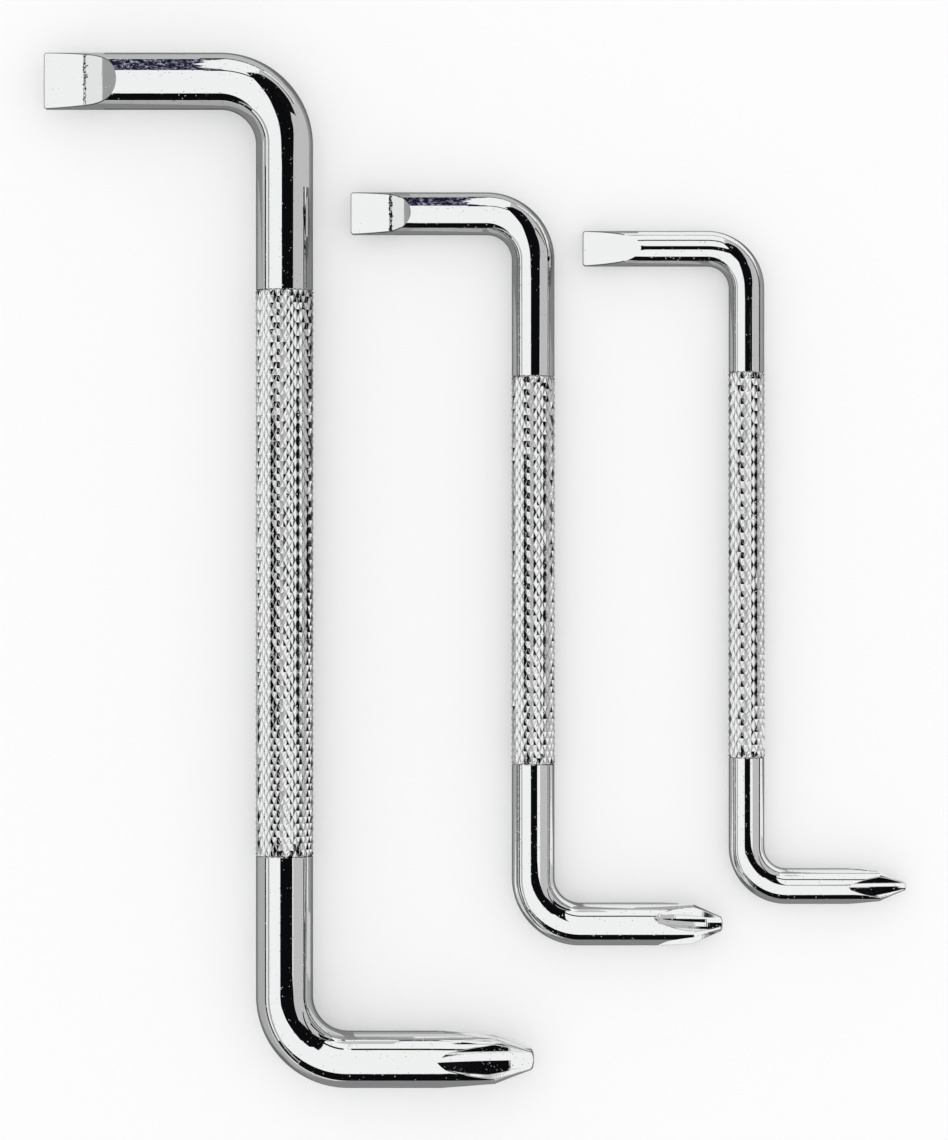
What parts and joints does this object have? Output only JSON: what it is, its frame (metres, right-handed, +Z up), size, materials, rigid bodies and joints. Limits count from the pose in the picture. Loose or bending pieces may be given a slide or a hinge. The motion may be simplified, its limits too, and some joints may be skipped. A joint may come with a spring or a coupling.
{
  "type": "offset screwdriver set",
  "caption": "Z-shaped double-ended offset screwdrivers in graded sizes: slotted blade on one arm, cross point on the other, diamond-knurled grip between.",
  "frame": {"origin": "middle of the set's bounding box, on the table that the tools lie on", "axes": "+X along the arms, from the slotted blades towards the cross points; +Y along the grips, towards the blade arms; +Z up from the table"},
  "size_m": [0.1214, 0.1456, 0.0082],
  "materials": {
    "chrome_plate": "bright chrome plate over steel, polished on the bars and tips, diamond knurl on the grips"
  },
  "bodies": {
    "root": {"large_screwdriver": "chrome_plate", "medium_screwdriver": "chrome_plate", "small_screwdriver": "chrome_plate"}
  },
  "joints": []
}
